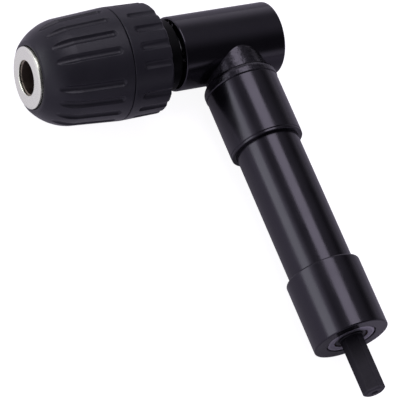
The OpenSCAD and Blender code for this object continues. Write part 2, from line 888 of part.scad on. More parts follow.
module thrust_cage() {
    mid = flange_front + washer_t + ball_gap + thrust_ball_d / 2;
    color("goldenrod") on_output() difference() {
        ring(thrust_r - thrust_ball_d * ball_share, flange_d / 2,
            mid - thrust_ball_d / 4, mid + thrust_ball_d / 4);
        thrust_places() sphere(r = thrust_ball_d / 2 + run_gap, $fn = 24);
    }
}

module lock_screw() {
    color("dimgray") on_output() difference() {
        union() {
            bar(screw_d / 2, thread_end - screw_len + part_gap, web_end + screw_head_h / 2);
            bar(screw_head_d / 2, web_end, screw_top);
        }
        for (turn = [0, 90])
            rotate(turn) translate([-slot_l / 2, -slot_w / 2, screw_top - slot_h])
                cube([slot_l, slot_w, slot_h + overrun]);
    }
}

module jaw(turn) {
    wide = flange_d;
    color([0.6, 0.6, 0.62]) on_output() intersection() {
        slanted_bar(jaw_d / 2, turn, -jaw_len, jaw_d);
        rotate(turn) translate([0, 0, jaw_tip - 2 * jaw_len]) linear_extrude(2 * jaw_len)
            polygon([[grip_open, 0], [grip_open + wide / 2, -wide * cos(30)],
                [grip_open + wide / 2, wide * cos(30)]]);
    }
}

module jaw_a() {
    jaw(0);
}

module jaw_b() {
    jaw(120);
}

module jaw_c() {
    jaw(240);
}

head_housing();
head_end_cap();
head_snap_ring();
neck_snap_ring();
upper_sleeve();
main_tube();
lower_collar();
input_shaft();
input_bevel_gear();
input_gear_pin();
output_spindle();
output_bevel_gear();
output_gear_pin();
lower_bearing_outer();
lower_bearing_inner();
lower_bearing_balls();
lower_bearing_cage();
lower_bearing_shield();
upper_bearing_outer();
upper_bearing_inner();
upper_bearing_balls();
upper_bearing_cage();
front_bearing_outer();
front_bearing_inner();
front_bearing_balls();
front_bearing_cage();
front_bearing_shield();
rear_bearing_outer();
rear_bearing_inner();
rear_bearing_balls();
rear_bearing_cage();
dust_collar();
chuck_body();
chuck_rear_ring();
chuck_front_sleeve();
nose_ring();
nut_half_a();
nut_half_b();
nut_collar();
thrust_washer();
thrust_balls();
thrust_cage();
lock_screw();
jaw_a();
jaw_b();
jaw_c();
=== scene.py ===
"""Looks of the right angle drill attachment: turned black steel housing, moulded chuck, studio."""
import json
import math

import bmesh
import bpy
import numpy as np
from mathutils import Matrix, Vector


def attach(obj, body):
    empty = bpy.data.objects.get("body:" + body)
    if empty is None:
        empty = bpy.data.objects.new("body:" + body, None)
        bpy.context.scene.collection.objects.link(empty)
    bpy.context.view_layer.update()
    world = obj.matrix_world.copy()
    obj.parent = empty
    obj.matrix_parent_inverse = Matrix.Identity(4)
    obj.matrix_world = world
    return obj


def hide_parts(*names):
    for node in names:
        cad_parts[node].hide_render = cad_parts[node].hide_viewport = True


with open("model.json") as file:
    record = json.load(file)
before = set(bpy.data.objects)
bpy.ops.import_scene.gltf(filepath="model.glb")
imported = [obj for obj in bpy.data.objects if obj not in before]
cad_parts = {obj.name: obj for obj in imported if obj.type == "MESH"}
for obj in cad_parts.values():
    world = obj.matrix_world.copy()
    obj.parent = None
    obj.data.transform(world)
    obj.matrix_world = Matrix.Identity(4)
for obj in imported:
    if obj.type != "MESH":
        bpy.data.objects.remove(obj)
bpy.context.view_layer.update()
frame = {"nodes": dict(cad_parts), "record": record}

# Sizes in millimetres; stations count along the chuck or the shank axis from where the two cross
MM = 0.001
SHAFT_Y = 107.5          # y of the chuck axis; the shank axis is the y axis
FIT = 0.03               # play between a piece and what it sits in

# Head barrel, cap, neck and bores
HEAD_R, HEAD_FRONT, HEAD_REAR = 12.0, 19.7, 16.5
CAP_R, CAP_T = 10.1, 1.8
NECK_START, NECK_R, NECK_BORE_R = 2.0, 10.2, 7.75
SHOULDER_TOP, SHOULDER_R, SHOULDER_ROUND = 13.0, 12.2, 2.4
SPIGOT_END = 25.5
HEAD_PLAIN = (-HEAD_REAR + 0.7, HEAD_FRONT - 0.3)        # the barrel between its rounded edges
NECK_PLAIN_START = 5
REAR_BORE_R, LEDGE_R, LEDGE_START, LEDGE_END = 7.53, 6.7, -9.6, -8.8
FRONT_BORE_R, FRONT_GROOVE_R, FRONT_GROOVE_START, FRONT_GROOVE_END = 9.53, 10.03, 17.8, 18.8
UPPER_SEAT_START, UPPER_SEAT_END, UPPER_GROOVE_END, UPPER_GROOVE_DEPTH = 12.5, 17.5, 18.5, 0.53

# Tube, upper sleeve with the lip at its end, lower collar
TUBE_START, TUBE_END, TUBE_R, TUBE_BORE_R = 26.0, 101.3, 10.4, 8.2
SLEEVE_TOP, SLEEVE_END, SLEEVE_R = 16.9, 38.6, 12.0
LIP_BACK, LIP_GROOVE_DEPTH, LIP_GROOVE_IN, LIP_GROOVE_OUT = 0.9, 0.24, 0.25, 0.15
LIP_R = SLEEVE_R - 0.06
COLLAR_TOP, COLLAR_END, COLLAR_R, COLLAR_BORE_R = 84.1, 107.5, 12.1, 7.0
COLLAR_MOUTH, COLLAR_MOUTH_W = 0.7, 0.3
SEAT_MOUTH, SEAT_MOUTH_W = 0.2, 0.16

# Bearing in the collar's end
BEARING_R, BEARING_RECESS, BEARING_W = 8.0, 0.2, 5.0
BEARING_FACE = COLLAR_END - BEARING_RECESS
BEARING_REAR = BEARING_FACE - BEARING_W
BALL_PITCH_R, TRACK_R, TRACK_STEPS = 6.0, 1.23, 13
OUTER_R, OUTER_LAND_R = BEARING_R - 0.01, 6.88
INNER_R, INNER_LAND_R, INNER_SUNK = 4.03, 5.12, 0.35
FACE_STEP_W, FACE_STEP_DEPTH, FACE_STEP_START = 0.36, 0.5, 0.55
SHIELD_R, SHIELD_HOLE_R, SHIELD_LIP_R, SHIELD_T, SHIELD_LIP = 6.87, 5.5, 5.62, 0.3, 0.12

# Input shaft and its hex shank
SHAFT_START, GEAR_SEAT_R, GEAR_SEAT_END = 4.9, 3.0, 11.2
JOURNAL_R, SHAFT_R, SHAFT_END = 4.0, 4.8, COLLAR_END - 0.1
HEX_AF, HEX_START, HEX_END, HEX_ROUND = 6.35, COLLAR_END - 0.6, 125.9, 0.28
HEX_R = HEX_AF / math.sqrt(3)
HEX_CHAMFER, CHAMFER_TAN = 0.9, math.tan(math.radians(30))
CENTRE_R, CENTRE_DEPTH, CENTRE_CONE, CENTRE_TIP_R = 1.0, 2.5, 0.6, 0.02
CENTRE_SINK, CENTRE_PAST, CENTRE_FLARE = 0.3, 0.2, 0.5       # its countersunk mouth

# Chuck's rear ring and front sleeve, nose ring, dust collar
CHUCK_REAR, SEAM, RING_REAR_R, SEAM_R = 27.0, 40.7, 17.75, 18.05
SLEEVE_START, TAPER_END, TAPER_END_R = SEAM + 0.2, 58.2, 16.85
TAPER_SLOPE = (SEAM_R - TAPER_END_R) / (TAPER_END - SLEEVE_START)
GRIP_END, NOSE_EDGE_R, NOSE_ROUND, GRIP_FACE_R = 68.6, 11.2, 0.25, 11.0
WALL_R, REAR_FACE_R = 16.0, 14.5         # where the outer profiles begin on the end faces
SLEEVE_BORE_R, NUT_ROOM_START, NUT_ROOM_START_R = 15.36, 50.5, 13.5
NUT_ROOM_END, NUT_ROOM_END_R, BODY_BORE_R = 59.25, 11.5, 9.3
NOSE_SEAT, NOSE_SEAT_R = 66.3, 10.0
RING_GRIP_R, RING_GRIP_START, RING_BORE_R = 14.63, 36.0, 14.9
RING_HOLE_R, RING_WALL_END = 11.03, 28.2
NOSE_REAR, NOSE_FACE, NOSE_RING_R, NOSE_HOLE_R = 66.7, 69.7, 9.8, 5.6
NOSE_BEVEL, NOSE_BEVEL_W, NOSE_STEP, NOSE_STEP_R = 0.3, 0.8, 68.7, 8.03
DUST_START, DUST_END, DUST_R = 20.9, 26.9, 11.6
DUST_HOLE_R, DUST_FLOOR_END, DUST_BORE_R = 5.03, 22.5, 8.03

# Flutes of the front sleeve and notches of the rear ring
FLUTE_GROUPS, FLUTES_IN_GROUP, FLUTE_PITCH, FLUTE_GAP_AT, NOTCH_GAP_AT = 4, 4, 19.0, -33.0, -52.0
FLUTE_W, FLUTE_DEPTH, FLUTE_START, FLUTE_TIP = 2.5, 0.75, 43.8, 65.0
NOTCH_W, NOTCH_DEPTH, NOTCH_BACK_DEPTH, NOTCH_START = 2.7, 0.85, 0.4, 37.7
NOTCH_FADE = 2.0         # stretch of the ring's end face in which a notch deepens
CUT_POWER = 2.4          # 2 is a round scoop, more gives a flatter floor
CUT_LIP = 0.1            # rounding where a flute or notch meets the outer surface
CUT_ROW_STEP = 0.25      # rows of the mesh along a fluted surface
ON_FACE = 0.01           # a row this close to the ring's end face lies on it

# Mesh
LATHE_STEPS, HEAD_STEPS, FLUTED_STEPS = 192, 256, 1080
CORNER_STEPS, HEX_CORNER_STEPS, SHOULDER_STEPS, NOSE_STEPS = 5, 6, 16, 60
SUPPORT = 0.06           # flat left beside a rounded corner, so that it shades crisply
ROUND_SHARE = 0.48       # the most of a side that one corner's round takes
OVERSHOOT = 2            # how far a bore's tool reaches past what it cuts
HEX_OVER = 1             # the same for the tool of the shank's chamfer
HEAD_SHARP, HEX_SHARP = math.radians(32), math.radians(22)
ON_SURFACE = 0.004       # a vertex this close to a cylinder lies on it


# Profiles and lathes
def on_output(s, r, angle):
    """Row-frame point, in metres, at station s along the chuck axis."""
    return Vector((-s, SHAFT_Y + r * math.sin(angle), r * math.cos(angle))) * MM


def on_input(s, r, angle):
    """Row-frame point, in metres, at station s along the shank axis."""
    return Vector((r * math.sin(angle), SHAFT_Y - s, r * math.cos(angle))) * MM


def rounded(corners, closed=True):
    """Outline of (station, radius, corner round) points with each corner turned into an arc.
    A point without a round stays a corner."""
    out = []
    count = len(corners)
    for i, (s, r, *rest) in enumerate(corners):
        fillet = rest[0] if rest else 0
        at = np.array([s, r], float)
        if not fillet or (not closed and i in (0, count - 1)):
            out.append(tuple(at))
            continue
        before = np.array(corners[i - 1][:2], float) - at
        after = np.array(corners[(i + 1) % count][:2], float) - at
        len_before, len_after = np.linalg.norm(before), np.linalg.norm(after)
        before, after = before / len_before, after / len_after
        half = math.acos(max(-1, min(1, before @ after))) / 2
        run = min(fillet / math.tan(half), len_before * ROUND_SHARE, len_after * ROUND_SHARE)
        fillet = run * math.tan(half)
        middle = at + (before + after) / np.linalg.norm(before + after) * fillet / math.sin(half)
        start, end = at + before * run, at + after * run
        if len_before > run + 2 * SUPPORT:
            out.append(tuple(start + before * SUPPORT))
        a0, a1 = (math.atan2(*(p - middle)[::-1]) for p in (start, end))
        turn = (a1 - a0 + math.pi) % (2 * math.pi) - math.pi
        for k in range(CORNER_STEPS + 1):
            a = a0 + turn * k / CORNER_STEPS
            out.append((middle[0] + fillet * math.cos(a), middle[1] + fillet * math.sin(a)))
        if len_after > run + 2 * SUPPORT:
            out.append(tuple(end + after * SUPPORT))
    return out


def arc(c_s, c_r, radius, from_s, to_s, steps):
    """Points on a circle about (c_s, c_r), from one station to another, on its outer side."""
    a0, a1 = (math.acos((s - c_s) / radius) for s in (from_s, to_s))
    return [(c_s + radius * math.cos(a0 + (a1 - a0) * k / steps),
             c_r + radius * math.sin(a0 + (a1 - a0) * k / steps)) for k in range(steps + 1)]


def dense(profile):
    """Adds points along the straight stretches of a profile."""
    out = []
    for (s0, r0), (s1, r1) in zip(profile, profile[1:]):
        parts = max(1, int(math.hypot(s1 - s0, r1 - r0) / CUT_ROW_STEP))
        out += [(s0 + (s1 - s0) * k / parts, r0 + (r1 - r0) * k / parts) for k in range(parts)]
    return out + [profile[-1]]


def mesh_object(name, verts, faces):
    mesh = bpy.data.meshes.new(name)
    mesh.from_pydata(verts, [], faces)
    bm = bmesh.new()
    bm.from_mesh(mesh)
    bmesh.ops.recalc_face_normals(bm, faces=bm.faces)
    bm.to_mesh(mesh)
    bm.free()
    mesh.shade_smooth()
    obj = bpy.data.objects.new(name, mesh)
    bpy.context.scene.collection.objects.link(obj)
    return obj


def lathe(name, profile, place, steps=LATHE_STEPS, shape=None):
    """Turns a closed profile about its axis. Where an end of it lies on the axis, it closes in a
    point. shape(station, radius, row, angle) may give another radius, for flutes and notches."""
    on_axis = profile[0][1] == 0 and profile[-1][1] == 0
    rows = profile[1:-1] if on_axis else profile
    verts, faces = [], []
    for row, (s, r) in enumerate(rows):
        for k in range(steps):
            a = 2 * math.pi * k / steps
            verts.append(place(s, shape(s, r, row, a) if shape else r, a))
    for row in range(len(rows) - 1 if on_axis else len(rows)):
        nxt = (row + 1) % len(rows)
        for k in range(steps):
            k1 = (k + 1) % steps
            faces.append((row * steps + k, row * steps + k1, nxt * steps + k1, nxt * steps + k))
    if on_axis:
        for row, (s, _) in ((0, profile[0]), (len(rows) - 1, profile[-1])):
            tip = len(verts)
            verts.append(place(s, 0, 0))
            faces += [(row * steps + k, row * steps + (k + 1) % steps, tip) for k in range(steps)]
    return mesh_object(name, verts, faces)


def solid_bar(name, corners, place):
    """A turned bar from the axis outwards."""
    first, last = corners[0][0], corners[-1][0]
    return lathe(name, rounded([(first, 0), *corners, (last, 0)], closed=False), place, HEAD_STEPS)


def hex_bar(name, low, high):
    """The hex shank between two stations, with rounded edges. Its corners stand 30 degrees further
    round than the solid's, as in the photo."""
    inner = (HEX_AF / 2 - HEX_ROUND) / math.cos(math.pi / 6)
    ring = [(inner * math.sin(c) + HEX_ROUND * math.sin(a),
             inner * math.cos(c) + HEX_ROUND * math.cos(a))
            for c in (math.radians(60 * i) for i in range(6))
            for a in np.linspace(c - math.pi / 6, c + math.pi / 6, HEX_CORNER_STEPS)]
    n = len(ring)
    verts = [Vector((x, SHAFT_Y - s, z)) * MM for s in (low, high) for x, z in ring]
    faces = [(k, (k + 1) % n, n + (k + 1) % n, n + k) for k in range(n)]
    return mesh_object(name, verts, faces + [tuple(range(n)), tuple(range(n, 2 * n))])


def combine(base, tool, operation):
    """Applies one boolean and removes the tool."""
    cut = base.modifiers.new("cut", "BOOLEAN")
    cut.operation, cut.object, cut.solver = operation, tool, "EXACT"
    graph = bpy.context.evaluated_depsgraph_get()
    mesh = bpy.data.meshes.new_from_object(base.evaluated_get(graph))
    base.modifiers.clear()
    base.data = mesh
    bpy.data.objects.remove(tool)


def true_normals(obj, surfaces):
    """Sharp edges by angle, and exact normals on the round faces that booleans have cut up.
    surfaces holds (axis, radius, low station, high station) of the plain cylinders."""
    mesh = obj.data
    mesh.shade_smooth()
    mesh.set_sharp_from_angle(angle=HEAD_SHARP)
    points = np.array([v.co for v in mesh.vertices]) / MM
    normals = [Vector(n.vector) for n in mesh.corner_normals]
    for axis, radius, low, high in surfaces:
        if axis == "output":
            station, across = -points[:, 0], points[:, [1, 2]] - (SHAFT_Y, 0)
        else:
            station, across = SHAFT_Y - points[:, 1], points[:, [0, 2]]
        lies = (abs(np.hypot(*across.T) - radius) < ON_SURFACE) & (station > low) & (station < high)
        for face in mesh.polygons:
            if not lies[list(face.vertices)].all():
                continue
            for loop in face.loop_indices:
                a, b = across[mesh.loops[loop].vertex_index] / radius
                normals[loop] = Vector((0, a, b)) if axis == "output" else Vector((a, 0, b))
    mesh.normals_split_custom_set(normals)


# Materials
class Tree:
    """Short hand for building a node tree."""

    def __init__(self, tree):
        self.tree = tree

    def add(self, kind, **values):
        node = self.tree.nodes.new(kind)
        for key, value in values.items():
            if key in node.inputs:
                node.inputs[key].default_value = value
            else:
                setattr(node, key, value)
        return node

    def link(self, source, target):
        self.tree.links.new(source, target)

    def ramp(self, source, low, high, out_low, out_high, kind="LINEAR"):
        node = self.add("ShaderNodeMapRange", interpolation_type=kind)
        for key, value in (("From Min", low), ("From Max", high),
                           ("To Min", out_low), ("To Max", out_high)):
            node.inputs[key].default_value = value
        self.link(source, node.inputs["Value"])
        return node.outputs["Result"]

    def step(self, source, low, high, out_low=0.0, out_high=1.0):
        return self.ramp(source, low, high, out_low, out_high, "SMOOTHSTEP")

    def spread(self, noise, out_low, out_high, half=0.2):
        """A noise, whose values crowd about 0.5, stretched to a range."""
        return self.ramp(noise, 0.5 - half, 0.5 + half, out_low, out_high)

    def math(self, operation, *values):
        node = self.add("ShaderNodeMath", operation=operation)
        for socket, value in zip(node.inputs, values):
            if isinstance(value, (int, float)):
                socket.default_value = value
            else:
                self.link(value, socket)
        return node.outputs["Value"]

    def split(self, vector):
        node = self.add("ShaderNodeSeparateXYZ")
        self.link(vector, node.inputs["Vector"])
        return node.outputs

    def mix(self, factor, dark, light):
        node = self.add("ShaderNodeMix", data_type="RGBA")
        self.link(factor, node.inputs["Factor"])
        for socket, value in (("A", dark), ("B", light)):
            if isinstance(value, tuple):
                node.inputs[socket].default_value = (*value, 1)
            else:
                self.link(value, node.inputs[socket])
        return node.outputs["Result"]

    def rays(self):
        """(1 for a ray from the camera, also through clear things, 1 for a reflected ray)."""
        path = self.add("ShaderNodeLightPath").outputs
        seen = self.math("MAXIMUM", path["Is Camera Ray"], path["Is Transmission Ray"])
        return seen, path["Is Glossy Ray"]


class Look(Tree):
    """One node material on the standard surface shader."""

    def __init__(self, name):
        self.mat = bpy.data.materials.new(name)
        self.mat.use_nodes = True
        super().__init__(self.mat.node_tree)
        self.shader = self.tree.nodes["Principled BSDF"]
        self.coords = self.add("ShaderNodeTexCoord").outputs["Object"]

    def set(self, **values):
        for key, value in values.items():
            self.shader.inputs[key.replace("_", " ")].default_value = value

    def noise(self, scale, detail, rough=0.55, stretch=None):
        """Noise over the object's place, with scale its cells to a metre."""
        vector = self.coords
        if stretch:
            mapping = self.add("ShaderNodeMapping")
            mapping.inputs["Scale"].default_value = stretch
            self.link(vector, mapping.inputs["Vector"])
            vector = mapping.outputs["Vector"]
        node = self.add("ShaderNodeTexNoise", Scale=scale, Detail=detail, Roughness=rough)
        self.link(vector, node.inputs["Vector"])
        return node.outputs["Fac"]

    def colour(self, source):
        self.link(source, self.shader.inputs["Base Color"])

    def rough(self, source):
        self.link(source, self.shader.inputs["Roughness"])

    def bump(self, height, distance, strength=1.0):
        node = self.add("ShaderNodeBump", Strength=strength, Distance=distance)
        self.link(height, node.inputs["Height"])
        self.link(node.outputs["Normal"], self.shader.inputs["Normal"])

    def axis_coords(self, axis):
        """(coordinate along the axis, distance from it), in metres."""
        x, y, z = self.split(self.coords)
        if axis == "output":
            across, along = self.math("SUBTRACT", y, SHAFT_Y * MM), x
        else:
            across, along = x, y
        squares = self.math("ADD", self.math("MULTIPLY", across, across),
                            self.math("MULTIPLY", z, z))
        return along, self.math("SQRT", squares)

    def rings(self, axis, scale):
        """Fine turning marks: one-dimensional noise over station and radius."""
        along, radius = self.axis_coords(axis)
        w = self.math("MULTIPLY", self.math("ADD", along, radius), scale)
        node = self.add("ShaderNodeTexNoise", noise_dimensions="1D", Scale=1.0, Detail=4.0)
        self.link(w, node.inputs["W"])
        return node.outputs["Fac"]

    def turned_height(self, marks):
        """Height of a turned and blacked surface: its marks and a slight unevenness."""
        return self.math("ADD", self.math("MULTIPLY", marks, 0.35),
                         self.math("MULTIPLY", self.noise(260, 2), 0.65))


BLACK_MARKS = 5200       # turning marks to a metre
BLACK_BUMP, CAST_BUMP = 0.00002, 6.0     # height in metres, and how much higher the cast skin's is
CAST_START, CAST_END = 12.1, 12.5        # the cast skin begins this far from the chuck axis
COLLAR_SHADE, WORN = (-12, -4), (-17.9, -17.3)        # y over which the collar's painted shade gives way to a paler painted lit tone, then the chamfer turns worn


def gloss_black(name, dark, light):
    """A gloss black finish, and the clouds in it."""
    n = Look(name)
    n.set(Metallic=0.0, IOR=1.5, Specular_Tint=(0.87, 0.82, 1.0, 1))
    cloud = n.noise(90, 4)
    n.colour(n.mix(cloud, dark, light))
    return n, cloud


def black_steel(name, axis, rough):
    """Turned and blacked steel."""
    n, cloud = gloss_black(name, (0.0014, 0.0013, 0.0019), (0.0028, 0.0026, 0.0036))
    marks = n.rings(axis, BLACK_MARKS)
    n.rough(n.math("ADD", n.spread(cloud, rough - 0.03, rough + 0.05),
                   n.spread(marks, -0.012, 0.012, 0.15)))
    n.bump(n.turned_height(marks), BLACK_BUMP)
    return n.mat


def head_steel(name):
    """Gloss black on the turned barrel, and the coarser skin of a casting on neck and shoulder."""
    n, cloud = gloss_black(name, (0.0012, 0.0011, 0.0016), (0.0022, 0.0021, 0.003))
    _, from_axis = n.axis_coords("output")
    cast = n.step(from_axis, CAST_START * MM, CAST_END * MM)
    pits = n.noise(900, 3, 0.6)
    smooth, coarse = n.spread(cloud, 0.14, 0.21), n.spread(pits, 0.15, 0.3, 0.15)
    n.rough(n.math("ADD", smooth, n.math("MULTIPLY", cast, n.math("SUBTRACT", coarse, smooth))))
    pitted = n.math("MULTIPLY", cast, n.math("MULTIPLY", pits, CAST_BUMP))
    n.bump(n.math("ADD", n.turned_height(n.rings("output", BLACK_MARKS)), pitted), BLACK_BUMP)
    return n.mat


def hex_steel(name):
    """Black oxide with painted shade near the collar, giving way to a paler painted lit tone
    towards the shank's end, and worn on its chamfer.
    """
    n = Look(name)
    n.set(Metallic=0.0, IOR=1.28, Specular_Tint=(0.94, 0.9, 1.0, 1))
    cloud = n.noise(420, 5)
    drawn = n.noise(900, 3, stretch=(1.0, 0.05, 1.0))
    along, _ = n.axis_coords("input")
    collar_shade_fade, worn = (n.step(along, low * MM, high * MM, 1.0, 0.0) for low, high in (COLLAR_SHADE, WORN))
    # Painted shade and light: the darker skin stands for the collar's shade on the shank, the paler
    # copy for the shank lit further out
    skin = n.mix(cloud, (0.0024, 0.0022, 0.0034), (0.0056, 0.0052, 0.0075))
    painted_lit_skin = n.mix(cloud, (0.011, 0.0104, 0.0135), (0.018, 0.017, 0.0215))
    n.colour(n.mix(worn, n.mix(collar_shade_fade, skin, painted_lit_skin), (0.03, 0.0285, 0.036)))
    n.rough(n.spread(cloud, 0.4, 0.5))
    n.bump(drawn, 0.00003, 0.8)
    return n.mat


def moulded(name, dark, light, rough, ior):
    """Matte moulded plastic with a fine grain."""
    n = Look(name)
    n.set(Metallic=0.0, IOR=ior, Specular_Tint=(0.93, 0.92, 1.0, 1))
    cloud = n.noise(140, 3)
    n.colour(n.mix(cloud, dark, light))
    n.rough(n.spread(cloud, rough - 0.04, rough + 0.05))
    n.bump(n.noise(3600, 2, 0.6), 0.00003, 0.8)
    return n.mat


def bright_metal(name, axis, colour, rough, marks_scale=9000, depth=0.000012):
    """Bare or plated metal with turning marks round one axis."""
    n = Look(name)
    n.set(Metallic=1.0, IOR=1.5)
    marks = n.rings(axis, marks_scale)
    n.colour(n.mix(marks, tuple(c * 0.86 for c in colour), colour))
    n.rough(n.spread(n.noise(300, 3), rough - 0.05, rough + 0.06))
    n.bump(marks, depth, 0.9)
    return n.mat


GROUND_MARKS, GROUND_DEPTH = 16000, 0.000006
head_black = head_steel("head_gloss_black")
tube_black = black_steel("tube_gloss_black", "input", rough=0.19)
plastic = moulded("chuck_matte_plastic", dark=(0.0102, 0.0096, 0.0138),
                  light=(0.0128, 0.0121, 0.0169), rough=0.36, ior=1.35)
dust_plastic = moulded("dust_collar_plastic", dark=(0.001, 0.001, 0.0012),
                       light=(0.0016, 0.0016, 0.0019), rough=0.4, ior=1.18)
nose_zinc = bright_metal("nose_ring_zinc", "output", (0.95, 0.985, 0.84), rough=0.26,
                         depth=GROUND_DEPTH)
race_steel = bright_metal("bearing_race_steel", "input", (0.46, 0.44, 0.5), 0.34,
                          GROUND_MARKS, GROUND_DEPTH)
shield_steel = bright_metal("bearing_shield_steel", "input", (0.33, 0.315, 0.37), 0.4,
                            GROUND_MARKS, GROUND_DEPTH)
body_steel = bright_metal("chuck_body_steel", "output", (0.33, 0.275, 0.25), 0.36)
# Black phosphate finish of the springs, also used as painted shade on the bearing's inner ring
black_spring_and_painted_shade = black_steel("spring_phosphate_and_painted_shade", "input", rough=0.38)
hexed = hex_steel("hex_black_oxide")


def for_each_axis(name, *look):
    """The same bright metal for both axes, since turning marks run round one of them."""
    return {axis: bright_metal(name + "_" + axis, axis, *look) for axis in ("output", "input")}


turned_steel = for_each_axis("turned_steel", (0.5, 0.5, 0.52), 0.3)
ground_steel = for_each_axis("ground_steel", (0.62, 0.62, 0.65), 0.2, GROUND_MARKS, GROUND_DEPTH)
brass = for_each_axis("cage_brass", (0.62, 0.43, 0.18), 0.32)

# The nodes whose names begin so lie on the shank axis, and the rest on the chuck axis
INPUT_NODES = ("input", "lower", "upper", "neck", "main", "tube")
SLOT_LOOK = {
    "black_steel": {"input": tube_black, "output": head_black},
    "blackened_steel": hexed,
    "black_plastic": plastic,
    "zinc_plate": nose_zinc,
    "bright_steel": turned_steel,
    "gear_steel": turned_steel,
    "bearing_steel": ground_steel,
    "cage_brass": brass,
    "spring_steel": black_spring_and_painted_shade,
}
NODE_LOOK = {"dust_collar": dust_plastic, "chuck_body": body_steel}
slots = {p["node"]: p["material_slot"] for p in frame["record"]["subparts"]}


def node_look(node):
    look = NODE_LOOK.get(node, SLOT_LOOK[slots[node]])
    if isinstance(look, dict):
        return look["input" if node.startswith(INPUT_NODES) else "output"]
    return look


def dress(obj, material):
    obj.data.materials.clear()
    obj.data.materials.append(material)


for node_name, node_obj in frame["nodes"].items():
    dress(node_obj, node_look(node_name))


def piece(obj, material, body, *nodes):
    """Gives a new piece its look and lets it stand for its CAD nodes."""
    dress(obj, material)
    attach(obj, body)
    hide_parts(*nodes)


# Housing
tube = lathe("tube_turned", rounded([
    (TUBE_START, TUBE_R, 0.3), (TUBE_END, TUBE_R, 0.3), (TUBE_END, TUBE_BORE_R, 0.2),
    (TUBE_START, TUBE_BORE_R, 0.2)]), on_input)
piece(tube, tube_black, "housing", "main_tube")

LIP_GROOVE = SLEEVE_END - LIP_BACK
sleeve = lathe("upper_sleeve_turned", rounded([
    (SLEEVE_TOP, SLEEVE_R, 0.25), (LIP_GROOVE - LIP_GROOVE_IN, SLEEVE_R, 0.08),
    (LIP_GROOVE, SLEEVE_R - LIP_GROOVE_DEPTH, 0.05), (LIP_GROOVE + LIP_GROOVE_OUT, LIP_R, 0.08),
    (SLEEVE_END, LIP_R, 0.3), (SLEEVE_END, TUBE_R + FIT, 0.15), (SLEEVE_TOP, TUBE_R + FIT, 0.1)]),
    on_input)
piece(sleeve, tube_black, "housing", "upper_sleeve")

collar = lathe("lower_collar_turned", rounded([
    (COLLAR_TOP + COLLAR_MOUTH, TUBE_R + FIT), (COLLAR_TOP, TUBE_R + COLLAR_MOUTH_W, 0.05),
    (COLLAR_TOP, COLLAR_R, 1.4), (COLLAR_END, COLLAR_R, 0.45),
    (COLLAR_END, BEARING_R + SEAT_MOUTH_W, 0.08), (COLLAR_END - SEAT_MOUTH, BEARING_R + FIT, 0.05),
    (BEARING_REAR, BEARING_R + FIT, 0.1), (BEARING_REAR, COLLAR_BORE_R, 0.1),
    (TUBE_END, COLLAR_BORE_R, 0.1), (TUBE_END, TUBE_R + FIT, 0.1)]), on_input)
piece(collar, tube_black, "housing", "lower_collar")

# The shoulder's round starts inside the neck, so the neck meets it a little below its top
ROUND_S, ROUND_R = SHOULDER_TOP + SHOULDER_ROUND, SHOULDER_R - SHOULDER_ROUND
NECK_MEETS = ROUND_S - math.sqrt(SHOULDER_ROUND ** 2 - (NECK_R - ROUND_R) ** 2)
shoulder_arc = arc(ROUND_S, ROUND_R, SHOULDER_ROUND, NECK_MEETS, ROUND_S, SHOULDER_STEPS)
CAP_SEAT, SEAT_R = -HEAD_REAR + CAP_T, BEARING_R + FIT
UPPER_GROOVE_R = BEARING_R + UPPER_GROOVE_DEPTH
head = solid_bar("head_turned", [(-HEAD_REAR, HEAD_R, 0.8), (HEAD_FRONT, HEAD_R, 0.55)], on_output)
combine(head, solid_bar("neck", [
    (NECK_START, NECK_R), (NECK_MEETS, NECK_R, 0.25), *shoulder_arc[1:],
    (SLEEVE_TOP, SHOULDER_R, 0.35), (SLEEVE_TOP, TUBE_R, 0.1), (SPIGOT_END, TUBE_R, 0.2)],
    on_input), "UNION")
combine(head, solid_bar("bore", [
    (-HEAD_REAR - OVERSHOOT, CAP_R + FIT), (CAP_SEAT, CAP_R + FIT), (CAP_SEAT, REAR_BORE_R),
    (LEDGE_START, REAR_BORE_R), (LEDGE_START, LEDGE_R), (LEDGE_END, LEDGE_R),
    (LEDGE_END, FRONT_BORE_R), (FRONT_GROOVE_START, FRONT_BORE_R),
    (FRONT_GROOVE_START, FRONT_GROOVE_R), (FRONT_GROOVE_END, FRONT_GROOVE_R),
    (FRONT_GROOVE_END, FRONT_BORE_R), (HEAD_FRONT + OVERSHOOT, FRONT_BORE_R)],
    on_output), "DIFFERENCE")
combine(head, solid_bar("neck_bore", [
    (0, NECK_BORE_R), (UPPER_SEAT_START, NECK_BORE_R), (UPPER_SEAT_START, SEAT_R),
    (UPPER_SEAT_END, SEAT_R), (UPPER_SEAT_END, UPPER_GROOVE_R), (UPPER_GROOVE_END, UPPER_GROOVE_R),
    (UPPER_GROOVE_END, SEAT_R), (SPIGOT_END + OVERSHOOT, SEAT_R)], on_input), "DIFFERENCE")
true_normals(head, [("output", HEAD_R, *HEAD_PLAIN),
                    ("input", NECK_R, NECK_PLAIN_START, NECK_MEETS)])
piece(head, head_black, "housing", "head_housing")

cap = lathe("head_cap_turned", rounded([
    (CAP_SEAT, 0), (CAP_SEAT, CAP_R, 0.2), (-HEAD_REAR, CAP_R, 0.4), (-HEAD_REAR, 0)],
    closed=False), on_output)
piece(cap, head_black, "housing", "head_end_cap")


